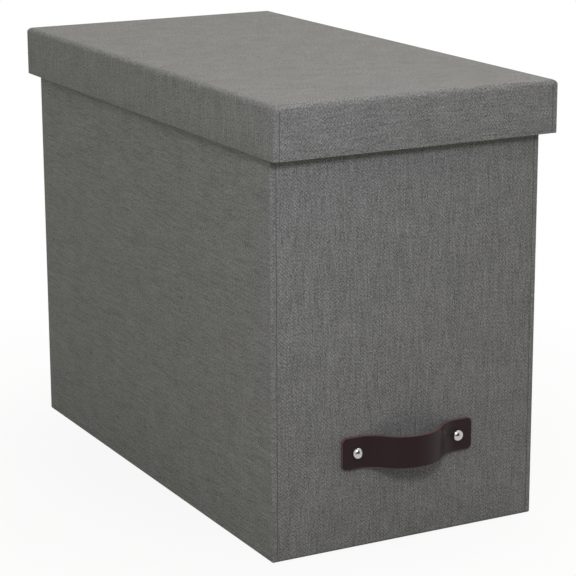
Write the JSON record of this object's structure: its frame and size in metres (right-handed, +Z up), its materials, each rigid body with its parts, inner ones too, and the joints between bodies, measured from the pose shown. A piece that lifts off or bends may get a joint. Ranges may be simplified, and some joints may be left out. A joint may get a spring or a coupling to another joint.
{
  "type": "hanging file box",
  "caption": "Upright canvas-covered fibreboard file box with an overhanging lift-off lid, a riveted leather pull low on its narrow front and steel rails for hanging folders.",
  "frame": {"origin": "middle of the underside that the box stands on", "axes": "+Z up, -Y out of the narrow front with the leather pull, +X to the right seen from the front"},
  "size_m": [0.184, 0.3622, 0.2657],
  "materials": {
    "fibreboard": "raw solid board",
    "grey_canvas": "matt woven canvas",
    "lining_paper": "matt uncoated paper",
    "plated_steel": "satin zinc plate",
    "brown_leather": "smooth dyed leather",
    "bright_nickel": "polished nickel plate"
  },
  "bodies": {
    "base": {"bottom_board": "fibreboard", "front_board": "fibreboard", "rear_board": "fibreboard", "left_board": "fibreboard", "right_board": "fibreboard", "front_cover": "grey_canvas", "rear_cover": "grey_canvas", "left_cover": "grey_canvas", "right_cover": "grey_canvas", "bottom_cover": "grey_canvas", "floor_liner": "lining_paper", "wall_liner": "lining_paper", "front_file_rail": "plated_steel", "rear_file_rail": "plated_steel", "handle_strap": "brown_leather", "handle_rivet_caps": "bright_nickel", "handle_rivet_posts": "bright_nickel"},
    "lid": {"lid_top_board": "fibreboard", "lid_front_board": "fibreboard", "lid_rear_board": "fibreboard", "lid_left_board": "fibreboard", "lid_right_board": "fibreboard", "lid_cover": "grey_canvas", "lid_liner": "lining_paper"}
  },
  "joints": [
    {"name": "lid_lift", "type": "slide", "parent": "base", "child": "lid", "axis": [0, 0, 1], "range_m": [0, 0.3]}
  ]
}
